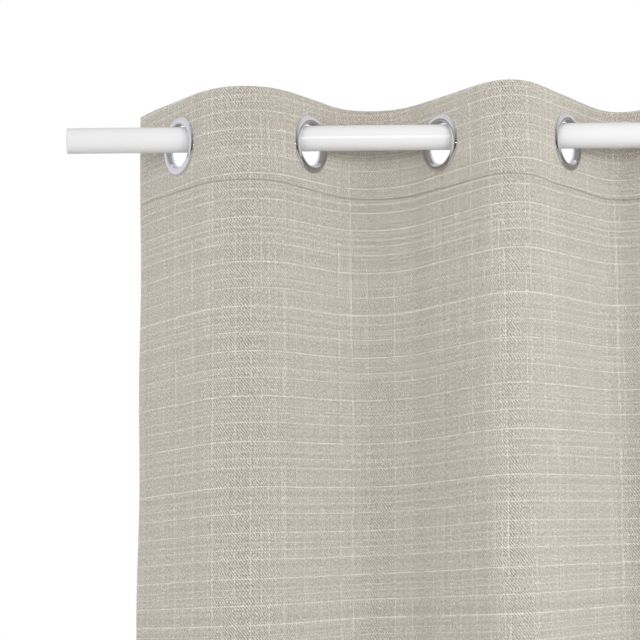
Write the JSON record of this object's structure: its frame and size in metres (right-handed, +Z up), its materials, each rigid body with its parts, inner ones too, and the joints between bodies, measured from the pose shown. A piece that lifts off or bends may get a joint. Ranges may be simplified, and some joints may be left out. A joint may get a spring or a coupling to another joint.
{
  "type": "eyelet curtain panel on a rod",
  "caption": "Woven eyelet curtain panel hanging in even folds from a round white rod held by wall brackets; it swings on the rod and draws to the left.",
  "frame": {"origin": "centre of the left bracket's wall plate on its back face, where it lies on the wall", "axes": "+Z up, +X along the rod towards its right end as seen from the room, +Y into the wall, so the room is on -Y"},
  "size_m": [1.2148, 0.1891, 2.134],
  "materials": {
    "rod_coat": "satin",
    "plug_plastic": "satin",
    "screw_steel": "satin",
    "eyelet_chrome": "polished",
    "panel_cloth": "matte"
  },
  "bodies": {
    "rod_and_brackets": {"curtain_rod": "rod_coat", "rod_plug_left": "plug_plastic", "rod_plug_right": "plug_plastic", "bracket_left": "rod_coat", "bracket_right": "rod_coat", "wall_screw_left_upper": "screw_steel", "wall_screw_left_lower": "screw_steel", "wall_screw_right_upper": "screw_steel", "wall_screw_right_lower": "screw_steel"},
    "thumb_left": {"thumb_screw_left": "screw_steel"},
    "thumb_right": {"thumb_screw_right": "screw_steel"},
    "eyelet_1": {"eyelet_front_1": "eyelet_chrome", "eyelet_back_1": "eyelet_chrome", "panel_strip_1_left": "panel_cloth", "panel_strip_1_right": "panel_cloth"},
    "eyelet_2": {"eyelet_front_2": "eyelet_chrome", "eyelet_back_2": "eyelet_chrome", "panel_strip_2_left": "panel_cloth", "panel_strip_2_right": "panel_cloth"},
    "eyelet_3": {"eyelet_front_3": "eyelet_chrome", "eyelet_back_3": "eyelet_chrome", "panel_strip_3_left": "panel_cloth", "panel_strip_3_right": "panel_cloth"},
    "eyelet_4": {"eyelet_front_4": "eyelet_chrome", "eyelet_back_4": "eyelet_chrome", "panel_strip_4_left": "panel_cloth", "panel_strip_4_right": "panel_cloth"},
    "eyelet_5": {"eyelet_front_5": "eyelet_chrome", "eyelet_back_5": "eyelet_chrome", "panel_strip_5_left": "panel_cloth", "panel_strip_5_right": "panel_cloth"},
    "eyelet_6": {"eyelet_front_6": "eyelet_chrome", "eyelet_back_6": "eyelet_chrome", "panel_strip_6_left": "panel_cloth", "panel_strip_6_right": "panel_cloth"},
    "eyelet_7": {"eyelet_front_7": "eyelet_chrome", "eyelet_back_7": "eyelet_chrome", "panel_strip_7_left": "panel_cloth", "panel_strip_7_right": "panel_cloth"},
    "eyelet_8": {"eyelet_front_8": "eyelet_chrome", "eyelet_back_8": "eyelet_chrome", "panel_strip_8_left": "panel_cloth", "panel_strip_8_right": "panel_cloth"}
  },
  "joints": [
    {"name": "panel_swing", "type": "hinge", "parent": "rod_and_brackets", "child": "eyelet_1", "pos_m": [0, -0.1143, 0], "axis": [-1, 0, 0], "range_deg": [-0.7, 15]},
    {"name": "eyelet_slide_2", "type": "slide", "parent": "eyelet_1", "child": "eyelet_2", "axis": [-1, 0, 0], "range_m": [0, 0.05], "deforming": ["panel_strip_1_right", "panel_strip_2_left"]},
    {"name": "eyelet_slide_3", "type": "slide", "parent": "eyelet_2", "child": "eyelet_3", "axis": [-1, 0, 0], "range_m": [0, 0.05], "deforming": ["panel_strip_2_right", "panel_strip_3_left"]},
    {"name": "eyelet_slide_4", "type": "slide", "parent": "eyelet_3", "child": "eyelet_4", "axis": [-1, 0, 0], "range_m": [0, 0.05], "deforming": ["panel_strip_3_right", "panel_strip_4_left"]},
    {"name": "eyelet_slide_5", "type": "slide", "parent": "eyelet_4", "child": "eyelet_5", "axis": [-1, 0, 0], "range_m": [0, 0.05], "deforming": ["panel_strip_4_right", "panel_strip_5_left"]},
    {"name": "eyelet_slide_6", "type": "slide", "parent": "eyelet_5", "child": "eyelet_6", "axis": [-1, 0, 0], "range_m": [0, 0.05], "deforming": ["panel_strip_5_right", "panel_strip_6_left"]},
    {"name": "eyelet_slide_7", "type": "slide", "parent": "eyelet_6", "child": "eyelet_7", "axis": [-1, 0, 0], "range_m": [0, 0.05], "deforming": ["panel_strip_6_right", "panel_strip_7_left"]},
    {"name": "eyelet_slide_8", "type": "slide", "parent": "eyelet_7", "child": "eyelet_8", "axis": [-1, 0, 0], "range_m": [0, 0.05], "deforming": ["panel_strip_7_right", "panel_strip_8_left"]},
    {"name": "thumb_turn_left", "type": "hinge", "parent": "rod_and_brackets", "child": "thumb_left", "pos_m": [0, -0.1143, 0], "axis": [0, -1, 0], "range_deg": [0, 360]},
    {"name": "thumb_turn_right", "type": "hinge", "parent": "rod_and_brackets", "child": "thumb_right", "pos_m": [0.9281, -0.1143, 0], "axis": [0, -1, 0], "range_deg": [0, 360]}
  ],
  "couplings": [
    {"joint": "eyelet_slide_3", "follows": "eyelet_slide_2", "ratio": 1},
    {"joint": "eyelet_slide_4", "follows": "eyelet_slide_2", "ratio": 1},
    {"joint": "eyelet_slide_5", "follows": "eyelet_slide_2", "ratio": 1},
    {"joint": "eyelet_slide_6", "follows": "eyelet_slide_2", "ratio": 1},
    {"joint": "eyelet_slide_7", "follows": "eyelet_slide_2", "ratio": 1},
    {"joint": "eyelet_slide_8", "follows": "eyelet_slide_2", "ratio": 1}
  ]
}
